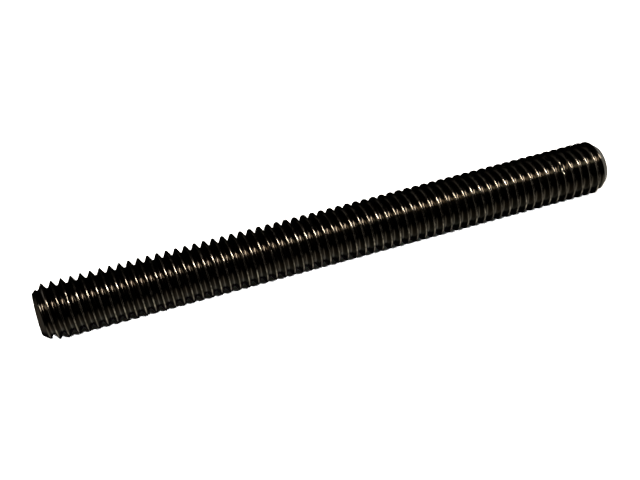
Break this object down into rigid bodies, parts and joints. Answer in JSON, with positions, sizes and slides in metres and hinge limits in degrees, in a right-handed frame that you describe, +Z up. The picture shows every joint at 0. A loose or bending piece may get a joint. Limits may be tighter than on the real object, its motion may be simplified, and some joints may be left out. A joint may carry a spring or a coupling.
{
  "type": "threaded rod",
  "caption": "Fully threaded dark steel rod with a 60 degree screw thread from end to end and a turned chamfer at each end.",
  "frame": {"origin": "middle of the rod, on its axis", "axes": "+X along the rod's axis, +Z up with the rod lying on its side, +Y completes a right-handed frame"},
  "size_m": [0.1016, 0.0096, 0.0096],
  "materials": {
    "dark_steel": "black oxide on bright steel, lightly oiled, rubbed brighter along the thread crests"
  },
  "bodies": {
    "root": {"threaded_rod": "dark_steel"}
  },
  "joints": []
}
